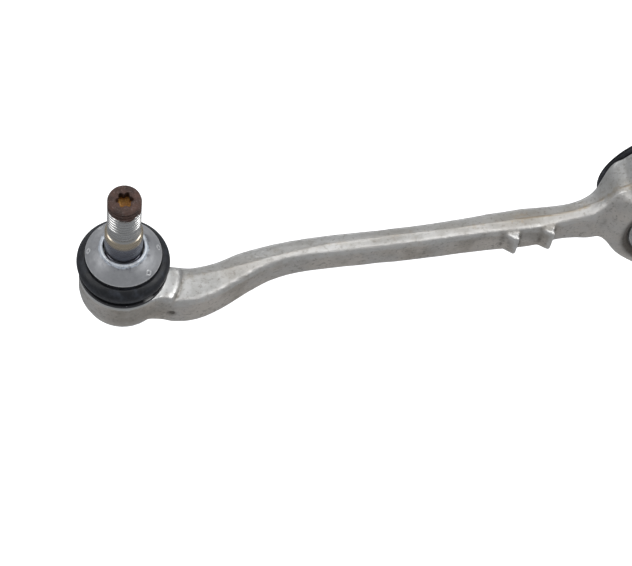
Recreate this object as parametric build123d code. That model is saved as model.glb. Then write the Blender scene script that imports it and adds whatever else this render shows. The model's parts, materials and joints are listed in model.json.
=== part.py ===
from build123d import *
import os
from math import cos, pi, radians, sin, sqrt, tan

# Forged aluminium suspension control arm: a ball joint at the outer end, an S-bent arm, a seat for a
# level-sensor bracket, and a fluid-filled rubber bushing at the inner end.  Millimetres.
# Origin: centre of the bushing.  +Y: along the bushing's bolt.  +Z: along the ball stud, to its tip.
# -X: towards the ball joint.

# ---- whole arm -----------------------------------------------------------------------------------
ARM_LENGTH = 252.0            # ball centre to bushing axis, along X
BALL_OFFSET = 10.75           # ball centre stands this far to -Y of the bushing's middle
BALL = Vector(-ARM_LENGTH, -BALL_OFFSET, 0)
DRAFT = 7.0                   # forging draft either side of the parting line, degrees
EDGE_R = 2.2                  # rounded long edges of the arm
RIDGE_PROUD = 0.3             # parting ridge stands above the draft slopes

# ---- ball stud -----------------------------------------------------------------------------------
BALL_R = 12.5
SHANK_R = 8.0                 # plain cylinder that the wheel carrier clamps
NECK_R = SHANK_R - 1.2        # waist between ball and shank
THREAD_R = 7.0                # M14, major radius
THREAD_RELIEF_R = 6.3
NECK_TOP = 14.6               # heights above the ball centre
SHANK_GROOVE_R = SHANK_R - 0.6  # parts the clamped shank from the boot's running land
SHANK_GROOVE_Z = (25.0, 26.6)
SHANK_TOP = 39.5
RELIEF_TOP = 42.5
STUD_TOP = 64.5
TIP_CHAMFER = 0.7
GROOVE_FLANK = 0.3            # length of the slopes at the groove's ends
THREAD_LEAD = 0.7             # slope from the relief up to the thread
SHANK_BREAK = 0.8             # broken edge at the shank's top
NECK_SLOPE = 1.2
BALL_FLAT = 0.6               # flat left on the ball's underside
KEY_POINT_R = 3.75            # six-lobe counterhold socket, to the lobe tips
KEY_ROOT_R = 2.7
KEY_LOBES = 6
LOBE_STEPS = 10               # straight pieces round each lobe
KEY_DEPTH = 6.0

# ---- ball joint housing --------------------------------------------------------------------------
RUN_CLEAR = 0.03              # ball in its seat
SEAT_WALL = 2.8
HOUSING_WALL = 3.5
HOUSING_BORE_R = BALL_R + SEAT_WALL
HOUSING_R = HOUSING_BORE_R + HOUSING_WALL
HOUSING_DRAW_Z = 5.5          # above its underside, where the draw-in slackens
HOUSING_STRAIGHT_Z = 8.0      # above its underside, where the wall runs straight
RIM_BREAK = 0.8               # broken edges of housing, eye and bushing core
FINE_BREAK = 0.5
SHOULDER_Z = 5.5              # step that the boot's foot stands on
COLLAR_R = HOUSING_BORE_R + 1.0  # collar above the step, inside the boot
COLLAR_TOP_Z = 9.5
BOOT_GROOVE_R = COLLAR_R - 1.1
BOOT_GROOVE_Z = (6.0, 8.6)
TILT_MAX = 26.0               # cone that the stud may sweep, degrees
MOUTH_CLEAR = 1.4             # from the tilted neck to the housing's mouth
COVER_Z = -BALL_R - 2.1       # underside of the closing cover
COVER_T = 1.5
ROLLED_LIP_T = 1.4            # housing rim rolled over the cover
HOUSING_BOTTOM_Z = COVER_Z - ROLLED_LIP_T
SEAT_TOP_Z = 0.4 * BALL_R
SEAT_STRAIGHT_Z = 0.5         # the seat's wall is straight up to here
SEAT_NECKING = 3.4            # and then closes in by this much to its top
COVER_LEDGE = 2.2             # how far the rolled rim reaches over the cover
COVER_DISH_R = 8.0            # shallow round recess under the cover
COVER_DISH_DEPTH = 0.5
SEAL_WIDTH = 1.7
SEAL_GAP = 0.2
PRELOAD_IN_R = 9.0
PRELOAD_CLEAR = 0.3           # from the ball to the preload ring
PRELOAD_T = 1.6
SEAT_FLANGE_Z = COVER_Z + COVER_T + PRELOAD_T
HOUSING_TAPER = 2.1           # the housing draws in by this much towards its rolled rim
SKIRT_R = HOUSING_R + 5.8     # raised web between the housing's step and the arm
SKIRT_TOP_Z = 4.1
SKIRT_BOTTOM_Z = -12.0
SKIRT_Y = (-15.9, -0.9)       # its reach across the arm, from the ball centre
SKIRT_BREAK = 0.7

# ---- boot and cover disc -------------------------------------------------------------------------
BOOT_WALL = 1.4
BOOT_FOOT_R = COLLAR_R + 1.2
BOOT_BULGE_R = BOOT_FOOT_R + 2.2
BOOT_BULGE_Z = 13.3
NECK_INSERT_Z = (15.5, 19.6)
INSERT_FIT = 0.05             # shank turns in the insert
INSERT_WALL = 1.1
BOOT_NECK_WALL = 1.5
CLAMP_WIRE = 1.5              # radial thickness of the lower clamp ring
UPPER_CLAMP_T = 1.0
DISC_RIM_Z = 19.9
DISC_TOP_Z = 26.3
DISC_T = 1.0
DISC_HOLE_R = SHANK_R + 0.65
DISC_COLLAR_R = DISC_HOLE_R + 1.75
DISC_R = DISC_COLLAR_R + 5.8
DISC_COLLAR_DROP = 3.2        # from the collar's top to its foot, on the inside
COLLAR_BULGE_CLEAR = 0.3      # housing collar to the boot's inside
UPPER_CLAMP_Z = 17.7          # bottom of the upper clamp ring
INSERT_SEAT_T = 0.6           # flange that carries the disc
INSERT_SEAT_REACH = 4.5       # it ends this far inside the disc's edge
PRESS_GAP = 0.02

# ---- bushing -------------------------------------------------------------------------------------
BORE_R = 28.0
EYE_R = BORE_R + 10.2
EYE_HALF = 13.35              # half the eye's width along Y
EYE_NEAR_R = EYE_R - 0.2      # drafted down to this at the near rim
EYE_FAR_R = EYE_R - 1.2       # drafted down to this at the far rim
EYE_EDGE_R = 1.4
EYE_ENTRY = 8.0               # the arm's last section lies this far inside the eye
MOUTH_R = BORE_R + 2.2        # lead-in chamfer of the eye's bore at its -Y end
MOUTH_DEPTH = 2.6
SLEEVE_T = 2.0
SLEEVE_RECESS = 1.2           # outer sleeve ends this far inside the eye's -Y face
EYE_FACE_INSET = 1.0          # the arm's last section lies inside the eye by this
EYE_FACE_SHARE = 0.94         # and spans this share of the eye's height there
FLANGE_R = BORE_R + 3.0
FLANGE_T = 1.5
LIP_R = FLANGE_R + 5.5        # rubber lip over the flange, at the +Y end
LIP_T = 3.9
LIP_GAP = 0.3
LIP_EDGE = 0.6
LIP_ROUND = 1.2
LIP_OVERLAP = 2.0
CORE_R = 10.5
CORE_BORE_R = 6.15            # clears an M12 bolt
CORE_HALF = 21.0
CAGE_T = 2.0
CAGE_HALF = 12.0
CAGE_RING = 4.8               # width of each end ring of the cage
CAGE_BAR_DEG = 25.0           # half-angle of each bar that joins the rings
CHANNEL_GAP_DEG = 2.0
CHANNEL_GROOVE = (1.2, 1.2, 2.5)  # depth, half-width and offset of the fluid groove
INNER_GAP = 0.1               # slack between hidden pieces of the bushing
CHAMBER_DEG = 52.0            # half-angle of each fluid chamber
CHAMBER_IN_R = 13.5
CHAMBER_HALF = 6.0
RUBBER_INSET = 1.0            # rubber ends this far inside the cage
RUBBER_DISH = 1.6             # depth of the dished ring between core and cage
RUBBER_CUFF = 3.2             # cuff that climbs the core
RUBBER_CUFF_T = 1.6
RUBBER_CUFF_FOOT = 5.0
RUBBER_RIM = 1.0
RUBBER_DISH_EDGE = 4.5
STOP_IN_R = 18.0
STOP_HALF = 4.5
STOP_DEG = 30.0

# ---- seat for the level-sensor bracket, on the arm's -Y face -------------------------------------
SEAT_Y = -11.25               # flat between the teeth, just proud of the arm's -Y face
SEAT_HALF = 5.5
TEETH = (                     # sharp end, sloping flank's length, stand-out, lowest and highest Z
    (-79.5, 6.4, 3.9, -6.6, 6.4),
    (-63.4, 5.4, 2.7, -7.6, 6.2))
TOOTH_BITE = 4.0              # depth that each tooth is rooted in the arm
TOOTH_EDGE_R = 0.85
TOOTH_NOSE = 1.8              # flat nose between the sloping flank and the steep one
TOOTH_NOSE_DROP = 0.2
TOOTH_RAKE = 0.4
SEAT_OVERRUN = 1.0            # the flat runs this far under each tooth
DIMPLE = (18.7, -17.1, -8.0)  # centring dimple beside the housing, from the ball centre
DIMPLE_R = 2.6

SLEEVE_OUT_R = BORE_R
SLEEVE_IN_R = BORE_R - SLEEVE_T
CAGE_OUT_R = SLEEVE_IN_R - INNER_GAP
CAGE_IN_R = CAGE_OUT_R - CAGE_T
CUT_OVER = 1.0                # every cut runs past the surface it opens by this


def disc_between(r_out, r_in, z0, z1):
    """Plain ring about Z."""
    ring = Pos(0, 0, (z0 + z1) / 2) * Cylinder(r_out, z1 - z0)
    if r_in > 0:
        ring -= Pos(0, 0, (z0 + z1) / 2) * Cylinder(r_in, 2 * (z1 - z0))
    return ring


def spin(points):
    """Solid of revolution about Z from a closed outline of (radius, height) points."""
    face = make_face(Polyline(*[(r, 0, z) for r, z in points], close=True))
    return revolve(face, Axis.Z)


def about_y(solid):
    """Turn a solid made about Z so that its axis lies along +Y."""
    return Rot(-90, 0, 0) * solid


def at_ball(solid):
    return Pos(*BALL) * solid


# ---- arm forging ---------------------------------------------------------------------------------
def arm_section(x, y_near, y_far, y_ridge, z_mid, height):
    """Six-sided drafted section with rounded outer corners, in the plane at x."""
    half = height / 2
    slope = tan(radians(DRAFT))
    near = half - (y_ridge - y_near) * slope / 2
    far = half - (y_far - y_ridge) * slope / 2
    ridge = half + RIDGE_PROUD
    outline = Polyline(
        (y_near, z_mid - near), (y_near, z_mid + near), (y_ridge, z_mid + ridge),
        (y_far, z_mid + far), (y_far, z_mid - far), (y_ridge, z_mid - ridge), close=True)
    face = make_face(outline)
    corners = [v for v in face.vertices() if abs(v.X - y_ridge) > RIDGE_PROUD]
    face = fillet(corners, EDGE_R)
    return Plane((x, 0, 0), x_dir=(0, 1, 0), z_dir=(1, 0, 0)) * face


def eye_chord(x, share):
    """Height of a section that lies just inside the eye's round outline."""
    return 2 * share * sqrt(EYE_R ** 2 - x ** 2)


def arm_shaft():
    """S-bent arm: side and height at each station, first from the ball, then from the bushing."""
    by_ball = (
        (8, -14.5, 3.6, -1.5, -7.4, 17.8), (20, -16.4, 2.4, -3.1, -7.9, 19.2),
        (30, -16.3, 0.6, -4.4, -7.6, 19.6), (40, -13.7, 1.6, -4.0, -6.4, 18.8),
        (50, -9.3, 4.3, -2.7, -4.9, 17.8), (60, -5.2, 6.1, -1.2, -3.5, 16.4),
        (72, -3.0, 7.2, 0.4, -1.8, 15.0), (90, -2.6, 7.6, 2.4, -0.6, 14.6))
    by_eye = (
        (95, -12.7, -2.8, -7.3, -0.8, 15.6), (65, -11.6, -1.3, -6.5, -0.9, 16.4),
        (48, -11.1, 0.2, -5.8, -1.0, 16.8), (32, -10.9, 0.9, -4.8, -0.9, 16.4),
        (20, -9.2, 0.9, -4.2, -0.6, 15.8), (11, -9.0, 2.0, -3.6, -0.5, 18.4),
        (4, -9.0, 5.2, -3.0, 0.3, 24.4))
    sections = [
        arm_section(BALL.X + x, BALL.Y + near, BALL.Y + far, BALL.Y + ridge, mid, height)
        for x, near, far, ridge, mid, height in by_ball]
    sections += [
        arm_section(-EYE_R - x, near, far, ridge, mid, height)
        for x, near, far, ridge, mid, height in by_eye]
    x = EYE_ENTRY - EYE_R
    side = EYE_HALF - EYE_FACE_INSET
    sections.append(arm_section(x, -side, side, -1.0, 0.0, eye_chord(x, EYE_FACE_SHARE)))
    return loft(sections)


def housing_blank():
    """Turned outside of the ball joint housing, and the wall that runs down to the arm."""
    body = spin([
        (0, HOUSING_BOTTOM_Z), (HOUSING_R - HOUSING_TAPER - RIM_BREAK, HOUSING_BOTTOM_Z),
        (HOUSING_R - HOUSING_TAPER, HOUSING_BOTTOM_Z + RIM_BREAK),
        (HOUSING_R - FINE_BREAK, HOUSING_BOTTOM_Z + HOUSING_DRAW_Z),
        (HOUSING_R, HOUSING_BOTTOM_Z + HOUSING_STRAIGHT_Z), (HOUSING_R, SHOULDER_Z - RIM_BREAK),
        (HOUSING_R - RIM_BREAK, SHOULDER_Z), (COLLAR_R, SHOULDER_Z),
        (COLLAR_R, COLLAR_TOP_Z - FINE_BREAK), (COLLAR_R - FINE_BREAK, COLLAR_TOP_Z),
        (0, COLLAR_TOP_Z)])
    join_r, join_z = HOUSING_R - RIM_BREAK, SHOULDER_Z - FINE_BREAK
    wall = spin([
        (0, SKIRT_BOTTOM_Z), (SKIRT_R, SKIRT_BOTTOM_Z), (SKIRT_R, SKIRT_TOP_Z - SKIRT_BREAK),
        (SKIRT_R - SKIRT_BREAK, SKIRT_TOP_Z), (join_r, join_z), (0, join_z)])
    low, high = SKIRT_Y
    arm_side = Pos(SKIRT_R / 3, low, SKIRT_BOTTOM_Z) * Box(
        SKIRT_R, high - low, 2 * SKIRT_R, align=(Align.MIN, Align.MIN, Align.MIN))
    return body + (wall & arm_side)


def housing_hollow():
    """Bore for the seat, rolled rim, flared mouth for the stud, and the boot's groove."""
    mouth_low = HOUSING_BORE_R - SEAT_NECKING
    ledge_r = HOUSING_BORE_R - COVER_LEDGE
    over = COLLAR_TOP_Z + PRESS_GAP
    mouth_high = COLLAR_TOP_Z * tan(radians(TILT_MAX)) + NECK_R / cos(radians(TILT_MAX)) + MOUTH_CLEAR
    bore = spin([
        (0, HOUSING_BOTTOM_Z - CUT_OVER), (ledge_r, HOUSING_BOTTOM_Z - CUT_OVER), (ledge_r, COVER_Z),
        (HOUSING_BORE_R, COVER_Z), (HOUSING_BORE_R, SEAT_STRAIGHT_Z), (mouth_low, SEAT_TOP_Z),
        (mouth_high, over), (0, over)])
    groove = disc_between(COLLAR_R + CUT_OVER, BOOT_GROOVE_R, *BOOT_GROOVE_Z)
    return bore, groove


def bushing_eye():
    """Eye with draft both ways from its parting plane and rounded rims."""
    eye = spin([
        (0, -EYE_HALF), (EYE_NEAR_R - EYE_EDGE_R, -EYE_HALF), (EYE_NEAR_R, EYE_EDGE_R - EYE_HALF),
        (EYE_R, 0), (EYE_FAR_R, EYE_HALF - RIM_BREAK), (EYE_FAR_R - RIM_BREAK, EYE_HALF),
        (0, EYE_HALF)])
    return about_y(eye)


def eye_bore():
    bore = Cylinder(BORE_R, 3 * EYE_HALF)
    lead_in = spin([
        (0, -EYE_HALF - CUT_OVER), (MOUTH_R + CUT_OVER, -EYE_HALF - CUT_OVER), (MOUTH_R, -EYE_HALF),
        (BORE_R, MOUTH_DEPTH - EYE_HALF), (0, MOUTH_DEPTH - EYE_HALF)])
    return about_y(bore + lead_in)


def bracket_seat():
    """Flat seat for the bracket, with a ratchet-shaped tooth at each end of it."""
    first, second = TEETH[0][0], TEETH[1][0] - TEETH[1][1]
    flat = Pos(first - SEAT_OVERRUN, SEAT_Y, -SEAT_HALF) * Box(
        second - first + 2 * SEAT_OVERRUN, TOOTH_BITE, 2 * SEAT_HALF,
        align=(Align.MIN, Align.MIN, Align.MIN))
    proud_pieces = [flat]
    for end_x, run, out, low, high in TEETH:
        plan = make_face(Polyline(
            (end_x - run, SEAT_Y + TOOTH_BITE), (end_x - run, SEAT_Y),
            (end_x - TOOTH_NOSE, SEAT_Y - out), (end_x, SEAT_Y - out + TOOTH_NOSE_DROP),
            (end_x + TOOTH_RAKE, SEAT_Y + TOOTH_BITE), close=True))
        tooth = Pos(0, 0, low) * extrude(plan, high - low)
        proud = [e for e in tooth.edges() if e.center().Y < SEAT_Y - out / 3]
        proud_pieces.append(fillet(proud, TOOTH_EDGE_R))
    return proud_pieces


def arm_forging():
    bore = eye_bore()
    forging = (bushing_eye() - bore) + (arm_shaft() - bore) + at_ball(housing_blank())
    for proud in bracket_seat():
        forging += proud
    for hollow in housing_hollow():
        forging -= at_ball(hollow)
    return forging - at_ball(Pos(*DIMPLE) * Sphere(DIMPLE_R))


# ---- ball joint ----------------------------------------------------------------------------------
def key_socket():
    """Six-lobe blind socket in the stud's tip."""
    outline = []
    points = KEY_LOBES * LOBE_STEPS
    mean, swing = (KEY_POINT_R + KEY_ROOT_R) / 2, (KEY_POINT_R - KEY_ROOT_R) / 2
    for i in range(points):
        turn = 2 * pi * i / points
        r = mean + swing * cos(KEY_LOBES * turn)
        outline.append((r * cos(turn), r * sin(turn)))
    plan = make_face(Polyline(*outline, close=True))
    return Pos(0, 0, STUD_TOP - KEY_DEPTH) * extrude(plan, KEY_DEPTH + CUT_OVER)


def ball_stud():
    groove_low, groove_high = SHANK_GROOVE_Z
    stud = spin([
        (0, 0), (NECK_R, 0), (NECK_R, NECK_TOP - NECK_SLOPE), (SHANK_R, NECK_TOP),
        (SHANK_R, groove_low), (SHANK_GROOVE_R, groove_low + GROOVE_FLANK),
        (SHANK_GROOVE_R, groove_high - GROOVE_FLANK), (SHANK_R, groove_high),
        (SHANK_R, SHANK_TOP - SHANK_BREAK), (SHANK_R - SHANK_BREAK, SHANK_TOP),
        (THREAD_RELIEF_R, SHANK_TOP + GROOVE_FLANK),
        (THREAD_RELIEF_R, RELIEF_TOP - THREAD_LEAD), (THREAD_R, RELIEF_TOP),
        (THREAD_R, STUD_TOP - TIP_CHAMFER), (THREAD_R - TIP_CHAMFER, STUD_TOP), (0, STUD_TOP)])
    ball = Sphere(BALL_R) - Pos(0, 0, -BALL_R) * Box(2 * BALL_R, 2 * BALL_R, 2 * BALL_FLAT)
    return at_ball(ball + stud - key_socket())


def ball_seat():
    """Plastic shell round the ball, open at the top for the stud and relieved at the bottom."""
    shell = spin([
        (0, SEAT_FLANGE_Z), (HOUSING_BORE_R, SEAT_FLANGE_Z), (HOUSING_BORE_R, SEAT_STRAIGHT_Z),
        (HOUSING_BORE_R - SEAT_NECKING, SEAT_TOP_Z), (0, SEAT_TOP_Z)])
    shell -= Sphere(BALL_R + RUN_CLEAR)
    mouth_r = sqrt(BALL_R ** 2 - SEAT_TOP_Z ** 2) + RUN_CLEAR
    return at_ball(shell - disc_between(mouth_r, 0, 0, SEAT_TOP_Z + CUT_OVER))


def preload_ring():
    low, high = COVER_Z + COVER_T, SEAT_FLANGE_Z
    ring = disc_between(HOUSING_BORE_R - SEAL_WIDTH - SEAL_GAP, PRELOAD_IN_R, low, high)
    return at_ball(ring - Sphere(BALL_R + PRELOAD_CLEAR))


def closing_cover():
    plate = disc_between(HOUSING_BORE_R, 0, COVER_Z, COVER_Z + COVER_T)
    recess = disc_between(COVER_DISH_R, 0, COVER_Z - CUT_OVER, COVER_Z + COVER_DISH_DEPTH)
    return at_ball(plate - recess)


def cover_o_ring():
    """Square-cut seal in the corner between cover, seat and bore."""
    low, high = COVER_Z + COVER_T, SEAT_FLANGE_Z
    return at_ball(disc_between(HOUSING_BORE_R, HOUSING_BORE_R - SEAL_WIDTH, low, high))


# ---- boot ----------------------------------------------------------------------------------------
def boot_arc(r_shift):
    """Profile of the bellows, moved in by r_shift: foot, bulge, then in under the disc."""
    foot_z = BOOT_GROOVE_Z[1] + 0.3
    return [
        (BOOT_FOOT_R - r_shift * 0.6, foot_z),
        (BOOT_BULGE_R - 0.9 - r_shift, BOOT_BULGE_Z - 3.2),
        (BOOT_BULGE_R - r_shift, BOOT_BULGE_Z),
        (BOOT_BULGE_R - 1.6 - r_shift, BOOT_BULGE_Z + 3.0 - r_shift * 0.4),
        (BOOT_BULGE_R - 4.9 - r_shift * 0.4, BOOT_BULGE_Z + 4.6 - r_shift)]


def dust_boot():
    neck_r = SHANK_R + INSERT_FIT + INSERT_WALL
    outer = [
        (BOOT_GROOVE_R, BOOT_GROOVE_Z[0]), (BOOT_FOOT_R, BOOT_GROOVE_Z[0]),
        *boot_arc(0),
        (neck_r + BOOT_NECK_WALL + UPPER_CLAMP_T, UPPER_CLAMP_Z),
        (neck_r + BOOT_NECK_WALL, UPPER_CLAMP_Z),
        (neck_r + BOOT_NECK_WALL, NECK_INSERT_Z[1] - INSERT_SEAT_T),
        (neck_r, NECK_INSERT_Z[1] - INSERT_SEAT_T)]
    inner = [
        (neck_r, NECK_INSERT_Z[0]), (neck_r + BOOT_NECK_WALL, NECK_INSERT_Z[0] - RUN_CLEAR),
        *reversed(boot_arc(BOOT_WALL)[1:]),
        (COLLAR_R + COLLAR_BULGE_CLEAR, COLLAR_TOP_Z + COLLAR_BULGE_CLEAR),
        (BOOT_GROOVE_R, BOOT_GROOVE_Z[1])]
    collar_room = disc_between(
        COLLAR_R + PRESS_GAP, 0, BOOT_GROOVE_Z[1], COLLAR_TOP_Z + COLLAR_BULGE_CLEAR)
    return at_ball(spin(outer + inner) - collar_room)


def boot_clamp_lower():
    ring = disc_between(BOOT_FOOT_R + CLAMP_WIRE, BOOT_FOOT_R, *BOOT_GROOVE_Z)
    return at_ball(ring)


def boot_clamp_upper():
    r = SHANK_R + INSERT_FIT + INSERT_WALL + BOOT_NECK_WALL
    return at_ball(disc_between(
        r + UPPER_CLAMP_T, r, UPPER_CLAMP_Z, NECK_INSERT_Z[1] - INSERT_SEAT_T - INNER_GAP))


def boot_neck_insert():
    r = SHANK_R + INSERT_FIT
    ring = disc_between(r + INSERT_WALL, r, *NECK_INSERT_Z)
    top = NECK_INSERT_Z[1]
    seat = disc_between(DISC_R - INSERT_SEAT_REACH, r, top - INSERT_SEAT_T, top)
    return at_ball(ring + seat)


def cover_disc():
    """Domed pressed-steel disc on the boot's neck, with an upright collar round the shank."""
    top = DISC_TOP_Z
    foot_r = DISC_HOLE_R + FINE_BREAK
    outer = [
        (DISC_HOLE_R, top), (DISC_COLLAR_R - 0.6, top), (DISC_COLLAR_R, top - 0.7),
        (DISC_COLLAR_R + 1.0, top - 1.7), (DISC_R - 2.6, DISC_RIM_Z + 2.3), (DISC_R, DISC_RIM_Z)]
    inner = [
        (DISC_R - DISC_T * 0.6, DISC_RIM_Z - 0.3), (DISC_R - 3.0, DISC_RIM_Z + 1.2),
        (DISC_COLLAR_R + 0.6, top - 2.9), (foot_r, top - DISC_COLLAR_DROP),
        (foot_r, NECK_INSERT_Z[1]), (DISC_HOLE_R, NECK_INSERT_Z[1])]
    return at_ball(spin(outer + inner))


# ---- bushing -------------------------------------------------------------------------------------
def sector(half_deg, r_in, r_out, half_width, middle_deg):
    """Block between two radii, a half-angle each side of a middle angle, about Z."""
    block = disc_between(r_out, r_in, -half_width, half_width)
    reach = 3 * r_out
    tips = [(0, 0)] + [(reach * cos(radians(middle_deg + a)), reach * sin(radians(middle_deg + a)))
                       for a in (-half_deg, -half_deg / 3, half_deg / 3, half_deg)]
    wedge = extrude(make_face(Polyline(*tips, close=True)), half_width, both=True)
    return block & wedge


def bushing_outer_sleeve():
    """Thin-walled can pressed into the eye, with a flange at its +Y end."""
    start = SLEEVE_RECESS - EYE_HALF
    sleeve = disc_between(SLEEVE_OUT_R, SLEEVE_IN_R, start, EYE_HALF + FLANGE_T)
    flange = disc_between(FLANGE_R, SLEEVE_IN_R, EYE_HALF, EYE_HALF + FLANGE_T)
    return about_y(sleeve + flange)


def bushing_inner_sleeve():
    core = spin([
        (CORE_BORE_R, RIM_BREAK - CORE_HALF), (CORE_BORE_R + RIM_BREAK, -CORE_HALF),
        (CORE_R - RIM_BREAK, -CORE_HALF), (CORE_R, RIM_BREAK - CORE_HALF),
        (CORE_R, CORE_HALF - RIM_BREAK), (CORE_R - RIM_BREAK, CORE_HALF),
        (CORE_BORE_R + RIM_BREAK, CORE_HALF), (CORE_BORE_R, CORE_HALF - RIM_BREAK)])
    return about_y(core)


def bushing_cage():
    """Two end rings and two bars bonded in the rubber; the windows face the fluid chambers."""
    ring_mid = CAGE_HALF - CAGE_RING / 2
    cage = Pos(0, 0, ring_mid) * disc_between(CAGE_OUT_R, CAGE_IN_R, -CAGE_RING / 2, CAGE_RING / 2)
    cage += Pos(0, 0, -ring_mid) * disc_between(CAGE_OUT_R, CAGE_IN_R, -CAGE_RING / 2, CAGE_RING / 2)
    for middle in (90, 270):
        cage += sector(CAGE_BAR_DEG, CAGE_IN_R, CAGE_OUT_R, CAGE_HALF - FINE_BREAK, middle)
    return about_y(cage)


def channel_half(middle):
    """Plastic shell over one window, with the groove that carries fluid between the chambers."""
    half_deg = 90 - CAGE_BAR_DEG - CHANNEL_GAP_DEG
    half_width = CAGE_HALF - CAGE_RING - INNER_GAP
    shell = sector(half_deg, CAGE_IN_R, CAGE_OUT_R, half_width, middle)
    depth, half, offset = CHANNEL_GROOVE
    groove = disc_between(CAGE_OUT_R + CUT_OVER, CAGE_OUT_R - depth, offset - half, offset + half)
    return about_y(shell - groove)


def travel_stop(middle):
    """Block on the shell's inside that limits how far the core can move."""
    return about_y(sector(STOP_DEG, STOP_IN_R, CAGE_IN_R - INNER_GAP, STOP_HALF, middle))


def bushing_rubber():
    """Rubber bonded to core and cage, with two fluid chambers and the lip over the flange."""
    out_r = CAGE_IN_R
    face = CAGE_HALF - RUBBER_INSET
    far_side = [
        (out_r, face), (out_r - RUBBER_RIM, face), (out_r - RUBBER_DISH_EDGE, face - RUBBER_DISH),
        (CORE_R + RUBBER_CUFF_FOOT, face - RUBBER_DISH), (CORE_R + RUBBER_CUFF_T, face + RUBBER_CUFF),
        (CORE_R, face + RUBBER_CUFF)]
    near_side = [(r, -z) for r, z in reversed(far_side)]
    body = spin(near_side + far_side)
    for middle in (0, 180):
        body -= sector(CHAMBER_DEG, CHAMBER_IN_R, out_r + CUT_OVER, CHAMBER_HALF, middle)
    return about_y(body)


def bushing_lip():
    """Moulded rubber ring that covers the sleeve's flange and keeps dirt off the eye's rim."""
    low = EYE_HALF + LIP_GAP
    high = EYE_HALF + LIP_T
    lip = spin([
        (SLEEVE_IN_R, EYE_HALF + FLANGE_T), (FLANGE_R, EYE_HALF + FLANGE_T), (FLANGE_R, low),
        (LIP_R - LIP_EDGE, low), (LIP_R, low + LIP_EDGE), (LIP_R, high - LIP_ROUND),
        (LIP_R - LIP_ROUND, high), (SLEEVE_IN_R + LIP_OVERLAP, high), (SLEEVE_IN_R, high - LIP_EDGE)])
    return about_y(lip)


NODES = {
    "arm_forging": arm_forging,
    "ball_stud": ball_stud,
    "ball_seat": ball_seat,
    "seat_preload_ring": preload_ring,
    "cover_seal_ring": cover_o_ring,
    "closing_cover": closing_cover,
    "dust_boot": dust_boot,
    "boot_clamp_lower": boot_clamp_lower,
    "boot_clamp_upper": boot_clamp_upper,
    "boot_neck_insert": boot_neck_insert,
    "cover_disc": cover_disc,
    "bushing_outer_sleeve": bushing_outer_sleeve,
    "bushing_inner_sleeve": bushing_inner_sleeve,
    "bushing_cage": bushing_cage,
    "bushing_rubber": bushing_rubber,
    "bushing_lip": bushing_lip,
    "fluid_channel_outer_half": lambda: channel_half(180),
    "fluid_channel_inner_half": lambda: channel_half(0),
    "travel_stop_outer": lambda: travel_stop(180),
    "travel_stop_inner": lambda: travel_stop(0),
}

os.makedirs("parts", exist_ok=True)
for name, make in NODES.items():
    export_step(make(), f"parts/{name}.step")
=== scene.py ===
import json
import math

import bmesh
import bpy
import numpy as np
from mathutils import Matrix, Vector


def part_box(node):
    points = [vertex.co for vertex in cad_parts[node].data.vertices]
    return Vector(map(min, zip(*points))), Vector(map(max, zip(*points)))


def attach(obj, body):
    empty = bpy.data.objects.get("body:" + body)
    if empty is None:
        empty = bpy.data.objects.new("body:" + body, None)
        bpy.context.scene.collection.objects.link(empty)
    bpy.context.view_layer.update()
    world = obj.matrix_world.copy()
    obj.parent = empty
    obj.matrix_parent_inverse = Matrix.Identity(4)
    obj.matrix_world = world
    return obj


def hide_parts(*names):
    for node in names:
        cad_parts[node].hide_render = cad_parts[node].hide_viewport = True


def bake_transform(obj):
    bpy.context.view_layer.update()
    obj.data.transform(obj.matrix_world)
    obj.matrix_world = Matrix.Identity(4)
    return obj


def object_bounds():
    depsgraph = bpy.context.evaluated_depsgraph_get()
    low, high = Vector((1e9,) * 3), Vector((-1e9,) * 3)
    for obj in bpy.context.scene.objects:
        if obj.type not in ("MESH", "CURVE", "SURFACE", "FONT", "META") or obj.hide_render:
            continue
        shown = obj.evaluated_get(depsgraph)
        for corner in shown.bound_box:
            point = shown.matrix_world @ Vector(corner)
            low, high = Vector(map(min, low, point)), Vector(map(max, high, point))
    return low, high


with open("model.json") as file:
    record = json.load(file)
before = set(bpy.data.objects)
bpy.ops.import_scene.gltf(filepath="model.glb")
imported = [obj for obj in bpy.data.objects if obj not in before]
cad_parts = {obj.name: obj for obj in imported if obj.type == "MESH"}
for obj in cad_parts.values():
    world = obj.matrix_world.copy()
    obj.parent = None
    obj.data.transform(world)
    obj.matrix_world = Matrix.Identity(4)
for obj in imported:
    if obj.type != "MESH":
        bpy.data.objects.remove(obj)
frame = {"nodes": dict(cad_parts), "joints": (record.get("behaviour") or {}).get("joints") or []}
cad_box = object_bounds()

# ---- Camera, floor and light ---------------------------------------------------------------------
# The arm is seen from above its near side, ball joint on the left and bushing cut by the right edge.
# A pale sheet lies well below it, and soft boxes stand to its left and right, overhead and behind.
AZIMUTH, ELEVATION, ROLL = (math.radians(a) for a in (17.99, 61.28, 10.39))
TARGET = Vector((-0.16646, -0.01075, -0.02352))
DISTANCE = 0.970
LENS, SENSOR = 125.3, 36
FLOOR_DROP = 0.09

forward = Vector((
    math.sin(AZIMUTH) * math.cos(ELEVATION), math.cos(AZIMUTH) * math.cos(ELEVATION),
    -math.sin(ELEVATION)))
level = Vector((math.cos(AZIMUTH), -math.sin(AZIMUTH), 0))
upright = level.cross(forward)
right = math.cos(ROLL) * level + math.sin(ROLL) * upright
up = math.cos(ROLL) * upright - math.sin(ROLL) * level

camera = bpy.data.objects.new("camera", bpy.data.cameras.new("camera"))
camera.data.lens = LENS
camera.data.sensor_width = SENSOR
camera.matrix_world = Matrix.Translation(TARGET - DISTANCE * forward) @ Matrix((
    right, up, -forward)).transposed().to_4x4()
bpy.context.collection.objects.link(camera)
bpy.context.scene.camera = camera


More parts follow.
